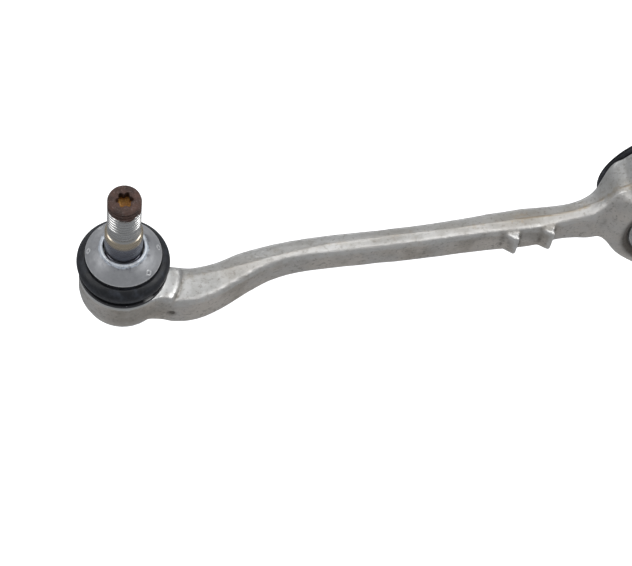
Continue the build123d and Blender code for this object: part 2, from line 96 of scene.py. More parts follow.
def soft_box(name, place, aim, width, height, power):
    light = bpy.data.lights.new(name, "AREA")
    light.shape, light.size, light.size_y, light.energy = "RECTANGLE", width, height, power
    box = bpy.data.objects.new(name, light)
    box.location = place
    box.rotation_euler = (Vector(aim) - Vector(place)).to_track_quat("-Z", "Y").to_euler()
    bpy.context.collection.objects.link(box)


AIM = (-0.14, 0.0, 0.0)
soft_box("box_left", (-1.25, 0.05, 0.95), AIM, 0.55, 1.1, 4.4)
soft_box("box_right", (0.95, -0.15, 1.05), AIM, 0.55, 1.1, 7.4)
soft_box("box_above", (-0.10, 0.35, 1.5), AIM, 1.8, 0.9, 9.0)
soft_box("box_behind", (-0.20, 1.7, 0.30), AIM, 2.4, 0.7, 4.2)

world = bpy.data.worlds.new("studio")
world.use_nodes = True
world.node_tree.nodes["Background"].inputs["Color"].default_value = (0.93, 0.96, 1.0, 1)
world.node_tree.nodes["Background"].inputs["Strength"].default_value = 0.30
bpy.context.scene.world = world
bpy.context.scene.view_settings.view_transform = "Standard"

floor_z = cad_box[0].z - FLOOR_DROP
bpy.ops.mesh.primitive_plane_add(size=8, location=(-0.13, 0, floor_z))
floor = bpy.context.object
floor.name = "floor"
floor.visible_glossy = False
paper = bpy.data.materials.new("paper")
paper.use_nodes = True
for label, value in (
        ("Base Color", (0.9, 0.9, 0.9, 1)), ("Roughness", 0.9), ("Specular IOR Level", 0.1),
        ("Emission Color", (1, 1, 1, 1)), ("Emission Strength", 0.62)):
    paper.node_tree.nodes["Principled BSDF"].inputs[label].default_value = value
floor.data.materials.append(paper)

# ---- Arm -----------------------------------------------------------------------------------------
# One aluminium forging: S-bent arm, ball joint housing and bushing eye.  Its skin is matt and stained,
# with a trimmed flash line where the dies met; only the eye's bore and the housing are machined.
MM = 0.001
BALL = Vector(next(j for j in frame["joints"] if j["name"] == "stud_spin")["pos_m"])
VOXEL = 0.62 * MM
SLEEVE_WALL = 2.1 * MM
BORE_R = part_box("fluid_channel_inner_half")[1].x + SLEEVE_WALL
HOUSING_R = BALL.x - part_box("arm_forging")[0].x
MACHINED_EYE_R = BORE_R + 3.2 * MM
MACHINED_TOP_Z = 4.6 * MM
EYE_CORNER_R = BORE_R + 14 * MM
EYE_RIM_R = BORE_R + 9 * MM
JOINT_CORNER_R = 28 * MM
NEAR_CORNER_R = 21 * MM
SEAM_WIDTH = 0.55 * MM
SEAM_HEIGHT = 0.10 * MM
DIMPLE = Vector((18.7, -17.6, -8.0)) * MM


def sockets(tree, kind, settings=None, **inputs):
    """New node; each input is a value, or a socket to link, under its own name."""
    made = tree.nodes.new(kind)
    for name, value in (settings or {}).items():
        setattr(made, name, value)
    for name, value in inputs.items():
        if name[0] == "_":
            target = made.inputs[int(name[1:])]
        else:
            target = made.inputs[name.replace("_", " ")]
        if isinstance(value, bpy.types.NodeSocket):
            tree.links.new(value, target)
        else:
            target.default_value = value
    return made.outputs


def math_node(tree, operation, *values, clamp=False):
    settings = {"operation": operation, "use_clamp": clamp}
    return sockets(tree, "ShaderNodeMath", settings, **{f"_{i}": v for i, v in enumerate(values)})[0]


def product(tree, first, second, clamp=False):
    return math_node(tree, "MULTIPLY", first, second, clamp=clamp)


def spread(tree, value, low, high, to_low=0.0, to_high=1.0):
    """Value mapped smoothly from low..high to to_low..to_high."""
    return sockets(
        tree, "ShaderNodeMapRange", {"interpolation_type": "SMOOTHSTEP"}, Value=value, From_Min=low,
        From_Max=high, To_Min=to_low, To_Max=to_high)[0]


def mixed(tree, share, first, second, blend="MIX"):
    """Colour between first and second."""
    return sockets(
        tree, "ShaderNodeMix", {"data_type": "RGBA", "blend_type": blend}, _0=share, _6=first,
        _7=second)[2]


def laid_over(tree, colour, mask, share, top):
    """Colour with top over it where the mask is, up to the given share."""
    return mixed(tree, product(tree, mask, share), colour, top)


def noise(tree, where, scale, detail=3.0, roughness=0.55):
    return sockets(
        tree, "ShaderNodeTexNoise", Vector=where, Scale=scale, Detail=detail,
        Roughness=roughness)["Fac"]


def stretched(tree, where, scale, place=(0, 0, 0)):
    return sockets(tree, "ShaderNodeMapping", Vector=where, Location=place, Scale=scale)[0]


def new_group(name, inputs, outputs):
    """Shader node group with (name, default) inputs and named outputs."""
    group = bpy.data.node_groups.new(name, "ShaderNodeTree")
    for label, default in inputs:
        socket = group.interface.new_socket(label, in_out="INPUT", socket_type="NodeSocketFloat")
        socket.default_value = default
    for label in outputs:
        group.interface.new_socket(label, in_out="OUTPUT", socket_type="NodeSocketFloat")
    return group, group.nodes.new("NodeGroupInput").outputs, group.nodes.new("NodeGroupOutput").inputs


def object_space(tree):
    return sockets(tree, "ShaderNodeTexCoord")["Object"]


def about_ball(tree):
    """Object space, measured from the ball's centre."""
    return stretched(tree, object_space(tree), (1, 1, 1), tuple(-BALL))


def stored(tree, name):
    """Value that the mesh carries on each vertex."""
    return sockets(tree, "ShaderNodeAttribute", {"attribute_name": name})["Fac"]


# Two sizes of mottling and a fine tooth, as on any cast, forged or moulded skin.
grain_group, given, wanted = new_group(
    "skin_grain", [("Scale", 900.0), ("Blotch", 60.0)], ["Height", "Blotches", "Speckle"])
place = object_space(grain_group)
fine = noise(grain_group, place, given["Scale"], 4)
broad = noise(grain_group, place, given["Blotch"], 5, 0.62)
pits = sockets(
    grain_group, "ShaderNodeTexVoronoi", {"feature": "F1"}, Vector=place,
    Scale=product(grain_group, given["Scale"], 0.45))["Distance"]
pits = spread(grain_group, pits, 0.05, 0.3)
grain_group.links.new(
    math_node(grain_group, "ADD", fine, product(grain_group, pits, 0.5)), wanted["Height"])
grain_group.links.new(spread(grain_group, broad, 0.32, 0.68), wanted["Blotches"])
grain_group.links.new(spread(grain_group, fine, 0.54, 0.68), wanted["Speckle"])

# Rubbed edges, and corners darkened with dirt and painted shade, from the bend that is stored on each
# vertex.
wear_and_shade_group, given, wanted = new_group("edge_wear", [("Breakup", 350.0)], ["Rubbed", "Dirt_And_Shade"])
bend = stored(wear_and_shade_group, "bend")
patchy = spread(
    wear_and_shade_group, noise(wear_and_shade_group, object_space(wear_and_shade_group), given["Breakup"], 4), 0.3, 0.62, 0.35, 1.0)
# The second mask marks concave corners, where dirt and painted shade darken the colour.
for label, sign in (("Rubbed", 1.0), ("Dirt_And_Shade", -1.0)):
    side = spread(wear_and_shade_group, product(wear_and_shade_group, bend, sign), 0.06, 0.7)
    wear_and_shade_group.links.new(product(wear_and_shade_group, side, patchy), wanted[label])


def use_group(tree, group, **values):
    return sockets(tree, "ShaderNodeGroup", {"node_tree": group}, **values)


def new_material(name, **constants):
    """Material with a Principled shader, and the constants set on the shader's own sockets."""
    material = bpy.data.materials.new(name)
    material.use_nodes = True
    shader = material.node_tree.nodes["Principled BSDF"]
    for label, value in constants.items():
        shader.inputs[label.replace("_", " ")].default_value = value
    return material, material.node_tree, shader.inputs


def relief(tree, height, distance, strength=1.0):
    return sockets(tree, "ShaderNodeBump", Height=height, Distance=distance, Strength=strength)[0]


def merged(node):
    """Welded copy of a CAD node's mesh."""
    mesh = frame["nodes"][node].data.copy()
    shape = bmesh.new()
    shape.from_mesh(mesh)
    bmesh.ops.remove_doubles(shape, verts=shape.verts, dist=1e-6)
    shape.to_mesh(mesh)
    shape.free()
    mesh.materials.clear()
    return mesh


def new_piece(name, mesh, material=None):
    piece = bpy.data.objects.new(name, mesh)
    bpy.context.collection.objects.link(piece)
    if material:
        mesh.materials.clear()
        mesh.materials.append(material)
    mesh.shade_smooth()
    return piece


def baked(piece):
    """Piece's mesh with its modifiers applied, in place of the modifiers."""
    bpy.context.view_layer.update()
    evaluated = piece.evaluated_get(bpy.context.evaluated_depsgraph_get())
    mesh = bpy.data.meshes.new_from_object(evaluated)
    piece.modifiers.clear()
    piece.data = mesh
    return piece


def points_of(mesh):
    flat = np.empty(len(mesh.vertices) * 3)
    mesh.vertices.foreach_get("co", flat)
    return flat.reshape(-1, 3)


def normals_of(mesh):
    flat = np.empty(len(mesh.vertices) * 3, np.float32)
    mesh.vertex_normals.foreach_get("vector", flat)
    return flat.reshape(-1, 3).astype(float)


class Neighbours:
    """Averages over the vertices that share an edge."""

    def __init__(self, mesh):
        flat = np.empty(len(mesh.edges) * 2, np.int32)
        mesh.edges.foreach_get("vertices", flat)
        self.a, self.b = flat.reshape(-1, 2).T
        self.size = len(mesh.vertices)
        self.count = np.bincount(self.a, minlength=self.size) + np.bincount(self.b, minlength=self.size)

    def mean(self, values):
        columns = values.reshape(self.size, -1).T
        total = [
            np.bincount(self.a, c[self.b], self.size) + np.bincount(self.b, c[self.a], self.size)
            for c in columns]
        return (np.array(total) / np.maximum(self.count, 1)).T.reshape(values.shape)


def store(mesh, name, values):
    layer = mesh.attributes.get(name) or mesh.attributes.new(name, "FLOAT", "POINT")
    layer.data.foreach_set("value", values.astype(np.float32))


def store_bend(mesh, reach=6, gain=14):
    """Stores how much each vertex stands proud of its neighbours, from -1 in a corner to 1 on an edge."""
    near = Neighbours(mesh)
    points, normals = points_of(mesh), normals_of(mesh)
    span = np.linalg.norm(points[near.a] - points[near.b], axis=1).mean()
    stand = np.einsum("ij,ij->i", points - near.mean(points), normals) / span
    for _ in range(reach):
        stand = 0.5 * stand + 0.5 * near.mean(stand)
    store(mesh, "bend", np.clip(stand * gain, -1, 1))


def value_noise(points, cell, seed):
    """Smooth random value from -1 to 1 at each point, hashed at the corners of a lattice of that cell."""
    place = points / cell
    low = np.floor(place).astype(np.int64)
    part = place - low
    part = part * part * (3 - 2 * part)
    total = np.zeros(len(points))
    for corner in range(8):
        step = np.array([corner & 1, corner >> 1 & 1, corner >> 2 & 1])
        at = low + step
        mixed_up = (at[:, 0] * 73856093 ^ at[:, 1] * 19349663 ^ at[:, 2] * 83492791 ^ seed * 2654435761)
        mixed_up = (mixed_up ^ mixed_up >> 13) * 1274126177 & 0xFFFFFF
        share = np.prod(np.where(step, part, 1 - part), axis=1)
        total += share * (mixed_up / 0x7FFFFF - 1)
    return total


arm = new_piece("arm", merged("arm_forging"))
skin = arm.modifiers.new("skin", "REMESH")
skin.mode, skin.voxel_size = "VOXEL", VOXEL
baked(arm)

points = points_of(arm.data)
near = Neighbours(arm.data)
from_axis = np.hypot(points[:, 0], points[:, 2])
from_ball = np.hypot(points[:, 0] - BALL.x, points[:, 1] - BALL.y)
in_eye = from_axis < MACHINED_EYE_R
in_joint = (from_ball < HOUSING_R - 1.2 * MM) | (
    (from_ball < HOUSING_R + 1 * MM) & (points[:, 2] > MACHINED_TOP_Z))
forged = 1.0 - (in_eye | in_joint)
for _ in range(4):
    forged = np.minimum(forged, near.mean(forged) * 1.05)

# Corners where the arm runs into the eye and the housing are forged with generous radii: each zone is a
# weight from 0 to 1 that says how far the skin is eased there.
eye_corner = np.exp(-((from_axis - EYE_CORNER_R) / (5 * MM)) ** 2)
eye_face = np.exp(-((from_axis - EYE_RIM_R) / (5 * MM)) ** 2) * (points[:, 1] < -5 * MM)
eye_face *= np.clip(-points[:, 0] / (8 * MM) - 2, 0, 1)
joint_corner = np.exp(-((from_ball - JOINT_CORNER_R) / (2.5 * MM)) ** 2) * (points[:, 0] > BALL.x)
near_side = np.exp(-((from_ball - NEAR_CORNER_R) / (3 * MM)) ** 2) * (points[:, 0] > BALL.x)
near_side *= points[:, 1] < BALL.y - 13 * MM
joint_corner = np.maximum(0.4 * joint_corner, near_side)
SKIN_TURNS, CORNER_TURNS, RIM_TURNS = 4, 40, 160
for turns, pull in (
        (SKIN_TURNS, 1.0), (CORNER_TURNS, np.maximum(eye_corner, joint_corner)), (RIM_TURNS, eye_face)):
    for _ in range(turns):
        points += 0.5 * (forged * pull)[:, None] * (near.mean(points) - points)

arm.data.vertices.foreach_set("co", points.ravel())
arm.data.update()
normals = normals_of(arm.data)

# The dies meet along the arm's highest and lowest line; a trimmed flash stands a little proud there.
stations = np.arange(BALL.x + 22 * MM, -8 * MM, 4 * MM)
ridge = []
for x in stations:
    here = np.abs(points[:, 0] - x) < 1.2 * MM
    top = here & (points[:, 2] > points[here, 2].max() - 0.12 * MM)
    ridge.append(points[top, 1].mean())
ridge = np.convolve(np.pad(ridge, 3, "edge"), np.ones(7) / 7, "valid")
aside = points[:, 1] - np.interp(points[:, 0], stations, ridge)
facing = np.clip(np.abs(normals[:, 2]) * 1.6 - 0.5, 0, 1)
facing = np.maximum(facing, (points[:, 0] > -6 * MM) * (from_axis > 34 * MM))
wander = 0.35 * MM * value_noise(points, 9 * MM, 5)
seam = np.exp(-((aside + wander) / SEAM_WIDTH) ** 2) * facing * forged
seam *= np.clip((points[:, 0] - BALL.x) / (30 * MM) - 0.6, 0, 1)

# The skin rolls a little between the dies, and the trimmed flash is uneven along its length.
roll = 0.10 * MM * value_noise(points, 7 * MM, 1) + 0.035 * MM * value_noise(points, 2.2 * MM, 2)
uneven = 0.6 + 0.4 * value_noise(points, 6 * MM, 3)
points += normals * (forged * roll + SEAM_HEIGHT * seam * uneven)[:, None]
arm.data.vertices.foreach_set("co", points.ravel())
arm.data.update()
store_bend(arm.data)
store(arm.data, "seam", seam)
store(arm.data, "forged", forged)
store(arm.data, "die_line", np.exp(-(aside / (3.2 * MM)) ** 2) * facing * forged)
store(arm.data, "side", np.clip(-normals[:, 1] * 1.5 - 0.15, 0, 1))

SKIN_DARK, SKIN_LIGHT = (0.38, 0.375, 0.36, 1), (0.52, 0.52, 0.515, 1)
SKIN_STREAK = (0.55, 0.55, 0.54, 1)
SKIN_CLOUD = (0.28, 0.255, 0.22, 1)
STAIN_LIGHT, STAIN_DARK = (0.70, 0.645, 0.59, 1), (0.44, 0.395, 0.345, 1)
SMEAR, SPECK = (0.25, 0.23, 0.20, 1), (0.22, 0.205, 0.18, 1)
CORNER_DIRT_AND_SHADE, RUBBED_EDGE = (0.13, 0.115, 0.095, 1), (0.74, 0.735, 0.72, 1)
FLASH_BROWN, BESIDE_FLASH = (0.27, 0.215, 0.15, 1), (0.40, 0.335, 0.25, 1)
DIMPLE_SHADE, RECESS_SHADE = (0.09, 0.08, 0.07, 1), (0.13, 0.115, 0.10, 1)
MACHINED, MOUTH_SHADE = (0.62, 0.62, 0.61, 1), (0.16, 0.14, 0.12, 1)

aluminium, tree, shader = new_material("forged_aluminium", Metallic=0.82)
grain = use_group(tree, grain_group, Scale=700.0, Blotch=60.0)
wear_and_shade = use_group(tree, wear_and_shade_group, Breakup=420.0)
along = noise(tree, stretched(tree, object_space(tree), (40, 420, 420)), 1.0, 4, 0.6)
side = stored(tree, "side")
flash = stored(tree, "seam")
skin_share = stored(tree, "forged")
place = object_space(tree)
clouds = spread(tree, noise(tree, place, 34, 5, 0.6), 0.42, 0.66)
colour = mixed(tree, grain["Blotches"], SKIN_DARK, SKIN_LIGHT)
colour = mixed(tree, spread(tree, along, 0.35, 0.7, 0.0, 0.45), colour, SKIN_STREAK)
colour = laid_over(tree, colour, clouds, 0.45, SKIN_CLOUD)

# Its near side is stained brown, and smears, specks, corners darkened with dirt and painted shade, and
# rubbed edges lie over that.
stain = product(tree, side, spread(tree, grain["Blotches"], 0.0, 1.0, 0.85, 0.45))
stained = mixed(tree, clouds, STAIN_LIGHT, STAIN_DARK)
colour = mixed(tree, stain, colour, stained)
smears = spread(tree, noise(tree, place, 210, 6, 0.7), 0.5, 0.7)
colour = laid_over(tree, colour, smears, 0.35, SMEAR)
colour = laid_over(tree, colour, grain["Speckle"], 0.5, SPECK)
# Dirt and painted shade darken the arm's concave corners.
colour = laid_over(tree, colour, wear_and_shade["Dirt_And_Shade"], 0.8, CORNER_DIRT_AND_SHADE)
colour = laid_over(tree, colour, wear_and_shade["Rubbed"], 0.75, RUBBED_EDGE)

# The flash line has browned, most of all towards the eye.
by_eye = spread(tree, sockets(tree, "ShaderNodeSeparateXYZ", _0=place)[0], -0.11, -0.07, 0.45, 1.2)
patches = spread(tree, along, 0.4, 0.6, 0.15, 0.75)
brown = product(tree, product(tree, flash, by_eye), patches, clamp=True)
colour = mixed(tree, brown, colour, FLASH_BROWN)
patches = spread(tree, smears, 0.1, 0.8, 0.15, 0.6)
beside = product(tree, product(tree, stored(tree, "die_line"), by_eye), patches, clamp=True)
colour = mixed(tree, beside, colour, BESIDE_FLASH)

# Shade is painted into the dimple and inside the eye's rim; the bore behind it is bare machined metal.
from_dimple = sockets(
    tree, "ShaderNodeVectorMath", {"operation": "DISTANCE"}, _0=place, _1=tuple(BALL + DIMPLE))["Value"]
# Painted shade in the dimple.
colour = mixed(tree, spread(tree, from_dimple, 3.4 * MM, 1.6 * MM, 0, 0.75), colour, DIMPLE_SHADE)
across = stretched(tree, place, (1, 0, 1))
from_bushing = sockets(tree, "ShaderNodeVectorMath", {"operation": "LENGTH"}, _0=across)["Value"]
# Painted shade on the near-facing skin round the bore.
recess_shade = product(tree, side, spread(tree, from_bushing, BORE_R + 5.5 * MM, BORE_R + 2.5 * MM, 0, 0.7))
colour = mixed(tree, recess_shade, colour, RECESS_SHADE)
# Painted shade on the machined chamfer round the bore's mouth; the bore itself stays bright.
mouth = product(
    tree, spread(tree, from_bushing, BORE_R + 0.2 * MM, BORE_R + 0.9 * MM),
    spread(tree, from_bushing, BORE_R + 8 * MM, BORE_R + 12 * MM, 1.0, 0.0))
machined = mixed(tree, mouth, MACHINED, MOUTH_SHADE)
colour = mixed(tree, skin_share, machined, colour)
tree.links.new(colour, shader["Base Color"])

rough = spread(tree, grain["Blotches"], 0.0, 1.0, 0.52, 0.42)
rough = math_node(tree, "SUBTRACT", rough, product(tree, wear_and_shade["Rubbed"], 0.12))
tree.links.new(rough, shader["Roughness"])
height = math_node(tree, "ADD", grain["Height"], product(tree, along, 0.8))
tree.links.new(relief(tree, height, 0.12 * MM, 0.8), shader["Normal"])

arm.data.materials.clear()
arm.data.materials.append(aluminium)
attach(arm, "arm")
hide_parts("arm_forging")

# ---- Ball stud -----------------------------------------------------------------------------------
# Turned and rolled steel stud with an M14 thread and a six-lobe socket in its tip.  Rain has rusted the
# tip and the first threads; the nut has polished the rest, and the shank is heat-tinted and blued.
STUD_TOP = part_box("ball_stud")[1].z - BALL.z
BALL_R = 12.5 * MM
THREAD_R = 7.0 * MM
THREAD_PITCH = 2.0 * MM
THREAD_DEPTH = 0.9 * MM
THREAD_LOW = 46.2 * MM
THREAD_RUN_OUT = 2 * MM
THREAD_LEAST_R = 5 * MM
THREAD_ROW = 0.15 * MM
RUST_LOW = 58.0 * MM
SWOLLEN_LOW = RUST_LOW - 2 * MM
SOCKET_R = 3.2 * MM
SOCKET_LOBE = 0.5 * MM
SOCKET_DEPTH = 4.6 * MM
TURN_STEPS = 144


def turned(rows, steps=96):
    """Mesh turned about Z from rows of (radius, height), each a number or one value for each step."""
    angle = np.arange(steps) * 2 * math.pi / steps
    rings = []
    for radius, z in rows:
        radius, z = np.broadcast_to(radius, steps), np.broadcast_to(z, steps)
        rings.append(np.column_stack((radius * np.cos(angle), radius * np.sin(angle), z)))
    return np.concatenate(rings), steps


def ring_mesh(name, rows, steps=96, closed=False):
    """Quads between the rows; a closed ring joins its last row to its first, and poles are welded."""
    points, steps = turned(rows, steps)
    count = len(rows)
    faces = []
    for i in range(count if closed else count - 1):
        a, b = i * steps, (i + 1) % count * steps
        faces += [(a + j, a + (j + 1) % steps, b + (j + 1) % steps, b + j) for j in range(steps)]
    mesh = bpy.data.meshes.new(name)
    mesh.from_pydata(points.tolist(), [], faces)
    shape = bmesh.new()
    shape.from_mesh(mesh)
    bmesh.ops.remove_doubles(shape, verts=shape.verts, dist=1e-7)
    bmesh.ops.recalc_face_normals(shape, faces=shape.faces)
    shape.to_mesh(mesh)
    shape.free()
    return mesh


def rounded(corners, closed=True, steps=4):
    """Outline with every (radius, height, fillet) corner rounded, all in millimetres."""
    line = [np.array(c[:2], float) for c in corners]
    outline = []
    for i, (here, corner) in enumerate(zip(line, corners)):
        end = not closed and i in (0, len(line) - 1)
        if end or corner[2] == 0:
            outline.append(here)
            continue
        back, ahead = line[i - 1] - here, line[(i + 1) % len(line)] - here
        cut = min(corner[2], 0.48 * np.linalg.norm(back), 0.48 * np.linalg.norm(ahead))
        first = here + back / np.linalg.norm(back) * cut
        last = here + ahead / np.linalg.norm(ahead) * cut
        for t in np.linspace(0, 1, steps + 1):
            outline.append((1 - t) ** 2 * first + 2 * t * (1 - t) * here + t * t * last)
    return [(r * MM, z * MM) for r, z in outline]


def densified(outline, longest):
    """Outline with its long runs divided, so that it takes detail."""
    rows = [outline[0]]
    for (r0, z0), (r1, z1) in zip(outline, outline[1:]):
        parts = max(1, math.ceil(math.hypot(r1 - r0, z1 - z0) / longest))
        rows += [(r0 + (r1 - r0) * k / parts, z0 + (z1 - z0) * k / parts) for k in range(1, parts + 1)]
    return rows


def closed_ring(name, outline, longest, steps):
    """Solid ring turned from a closed outline, with its long runs divided."""
    return ring_mesh(name, densified(outline + outline[:1], longest)[:-1], steps, closed=True)


def geometry_tree(name, inputs):
    """Geometry node tree with a mesh in and out, and named float inputs with defaults."""
    tree = bpy.data.node_groups.new(name, "GeometryNodeTree")
    tree.interface.new_socket("Geometry", in_out="INPUT", socket_type="NodeSocketGeometry")
    for label, default in inputs:
        socket = tree.interface.new_socket(label, in_out="INPUT", socket_type="NodeSocketFloat")
        socket.default_value = default
    tree.interface.new_socket("Material", in_out="INPUT", socket_type="NodeSocketMaterial")
    tree.interface.new_socket("Geometry", in_out="OUTPUT", socket_type="NodeSocketGeometry")
    return tree, tree.nodes.new("NodeGroupInput").outputs, tree.nodes.new("NodeGroupOutput").inputs


def end_tree(tree, geometry, given, wanted):
    """Every tree ends in Realize Instances and Set Material."""
    real = sockets(tree, "GeometryNodeRealizeInstances", Geometry=geometry)[0]
    tree.links.new(
        sockets(tree, "GeometryNodeSetMaterial", Geometry=real, Material=given["Material"])[0],
        wanted["Geometry"])


def grown(piece, tree, **values):
    """Runs a geometry tree on the piece with its inputs set by identifier, and keeps the plain mesh."""
    modifier = piece.modifiers.new(tree.name, "NODES")
    modifier.node_group = tree
    for item in tree.interface.items_tree:
        if item.in_out == "INPUT" and item.name.replace(" ", "_") in values:
            modifier[item.identifier] = values[item.name.replace(" ", "_")]
    return baked(piece)


# A rolled thread: the surface is pressed in along a helix, with flat crests and a run-out at each end.
thread_tree, given, wanted = geometry_tree("helical_thread", [
    ("Pitch", THREAD_PITCH), ("Depth", THREAD_DEPTH), ("Low", THREAD_LOW), ("High", STUD_TOP),
    ("Run Out", THREAD_RUN_OUT), ("Least Radius", THREAD_LEAST_R), ("Swollen", SWOLLEN_LOW)])
position = sockets(thread_tree, "GeometryNodeInputPosition")[0]
x, y, z = sockets(thread_tree, "ShaderNodeSeparateXYZ", _0=position)
angle = math_node(thread_tree, "ARCTAN2", y, x)
turns = math_node(
    thread_tree, "SUBTRACT", math_node(thread_tree, "DIVIDE", z, given["Pitch"]),
    math_node(thread_tree, "DIVIDE", angle, 2 * math.pi))
swing = math_node(thread_tree, "PINGPONG", turns, 0.5)
groove = spread(thread_tree, swing, 0.17, 0.44)
full = math_node(thread_tree, "ADD", given["Low"], given["Run Out"])
start = spread(thread_tree, z, given["Low"], full)
fading = math_node(thread_tree, "SUBTRACT", given["High"], product(thread_tree, given["Run Out"], 0.8))
gone = math_node(thread_tree, "SUBTRACT", given["High"], product(thread_tree, given["Run Out"], 0.3))
stop = spread(thread_tree, z, fading, gone, 1.0, 0.0)
radius = sockets(
    thread_tree, "ShaderNodeVectorMath", {"operation": "LENGTH"},
    _0=sockets(thread_tree, "ShaderNodeCombineXYZ", X=x, Y=y)[0])["Value"]
outside = math_node(thread_tree, "GREATER_THAN", radius, given["Least Radius"])
press = product(thread_tree, product(thread_tree, groove, start), product(thread_tree, stop, outside))
press = product(thread_tree, press, given["Depth"])
all_rusted = math_node(thread_tree, "ADD", given["Swollen"], given["Run Out"])
swollen = spread(thread_tree, z, given["Swollen"], all_rusted, 1.0, 1.5)
press = product(thread_tree, press, swollen)
inward = math_node(thread_tree, "DIVIDE", product(thread_tree, press, -1), math_node(
    thread_tree, "MAXIMUM", radius, 1e-5))
offset = sockets(
    thread_tree, "ShaderNodeVectorMath", {"operation": "SCALE"},
    _0=sockets(thread_tree, "ShaderNodeCombineXYZ", X=x, Y=y)[0], Scale=inward)[0]
pressed = sockets(
    thread_tree, "GeometryNodeSetPosition", Geometry=given["Geometry"], Offset=offset)[0]
end_tree(thread_tree, pressed, given, wanted)

# Outline of the stud from the flat under its ball, up the neck, land, shank and thread, and down into the
# socket, whose rings wave in and out for the six lobes.
angles = np.arange(TURN_STEPS) * 2 * math.pi / TURN_STEPS
lobes = SOCKET_R + SOCKET_LOBE * np.cos(6 * angles)
ball_arc = [(BALL_R * math.cos(a), BALL_R * math.sin(a))
            for a in np.radians(np.linspace(-71, 54, 30))]
body = rounded([
    (6.8, 10.6, 0.8), (6.8, 13.4, 0.8), (8.0, 14.6, 0.5), (8.0, 25.0, 0.1), (7.4, 25.3, 0.2),
    (7.4, 26.3, 0.2), (8.0, 26.6, 0.1), (8.0, 38.5, 0.35), (7.55, 39.0, 0.2), (7.5, 39.5, 0.2),
    (6.9, 39.9, 0.2), (6.5, 40.4, 0.3), (6.45, 41.6, 0.3), (6.95, 42.3, 0.2), (7.0, 43.1, 0.2),
    (6.8, 43.5, 0.2), (7.0, 44.0, 0.2), (7.0, 44.4, 0)], closed=False)
thread_rows = [(THREAD_R, z) for z in np.arange(44.5 * MM, STUD_TOP - 0.8 * MM, THREAD_ROW)]
tip = [(6.4 * MM, STUD_TOP - 0.1 * MM), (6.2 * MM, STUD_TOP), (5.2 * MM, STUD_TOP), (4.5 * MM, STUD_TOP)]
mouth = [(lobes * 1.08, STUD_TOP - 0.25 * MM), (lobes * 1.01, STUD_TOP - 0.4 * MM)]
wall = [(lobes, STUD_TOP - depth) for depth in np.linspace(0.6 * MM, SOCKET_DEPTH, 8)]
pit = [(lobes * s, STUD_TOP - SOCKET_DEPTH - (1 - s) * 0.6 * MM) for s in (0.8, 0.5, 0.2)]
flat_z = ball_arc[0][1]
rows = [(0, flat_z), (2 * MM, flat_z)] + ball_arc + body + thread_rows
rows += [(THREAD_R - 0.25 * MM, STUD_TOP - 0.4 * MM)] + tip + mouth + wall + pit
rows += [(0, STUD_TOP - SOCKET_DEPTH - 0.65 * MM)]

DARK_BLUE, PALE_BLUE = (0.10, 0.103, 0.13, 1), (0.30, 0.31, 0.36, 1)
STRAW, POLISHED = (0.66, 0.56, 0.42, 1), (0.66, 0.655, 0.645, 1)
TURNING_MARK, THREAD_DIRT_AND_SHADE = (0.34, 0.33, 0.32, 1), (0.10, 0.095, 0.09, 1)
RUST_DARK, RUST_LIGHT = (0.030, 0.019, 0.016, 1), (0.095, 0.048, 0.036, 1)
RUST_HOLLOW = (0.012, 0.009, 0.008, 1)
RUST_EDGE, RUST_SPECK = (0.19, 0.12, 0.10, 1), (0.22, 0.17, 0.16, 1)
ORANGE_DARK, ORANGE_LIGHT = (0.30, 0.12, 0.025, 1), (0.62, 0.33, 0.07, 1)

steel, tree, shader = new_material("stud_steel")
grain = use_group(tree, grain_group, Scale=1300.0, Blotch=260.0)
place = object_space(tree)
local = about_ball(tree)
x, y, z = sockets(tree, "ShaderNodeSeparateXYZ", _0=local)
around = sockets(
    tree, "ShaderNodeVectorMath", {"operation": "LENGTH"},
    _0=sockets(tree, "ShaderNodeCombineXYZ", X=x, Y=y)[0])["Value"]

# Blued at the foot, straw above it, bright from the relief groove up, and rust from a ragged edge.
ragged = math_node(tree, "MULTIPLY_ADD", noise(tree, place, 420, 5), 2.4 * MM, z)
rust = spread(tree, ragged, RUST_LOW + 0.9 * MM, RUST_LOW + 1.5 * MM)
tinted = spread(tree, z, 35.2 * MM, 37.6 * MM)
blued = spread(tree, z, 28 * MM, 36 * MM)
polished = spread(tree, z, 39.6 * MM, 40.2 * MM)
turning = noise(tree, stretched(tree, local, (60, 60, 9000)), 1.0, 3)
colour = mixed(tree, blued, DARK_BLUE, PALE_BLUE)
colour = mixed(tree, tinted, colour, STRAW)
colour = mixed(tree, polished, colour, POLISHED)
colour = mixed(tree, spread(tree, turning, 0.45, 0.7, 0, 0.45), colour, TURNING_MARK)
wear_and_shade = use_group(tree, wear_and_shade_group, Breakup=900.0)
in_thread = spread(tree, z, 43.5 * MM, 45.0 * MM, 0.0, 0.85)
# Dirt and painted shade darken the thread's hollows.
colour = laid_over(tree, colour, wear_and_shade["Dirt_And_Shade"], in_thread, THREAD_DIRT_AND_SHADE)

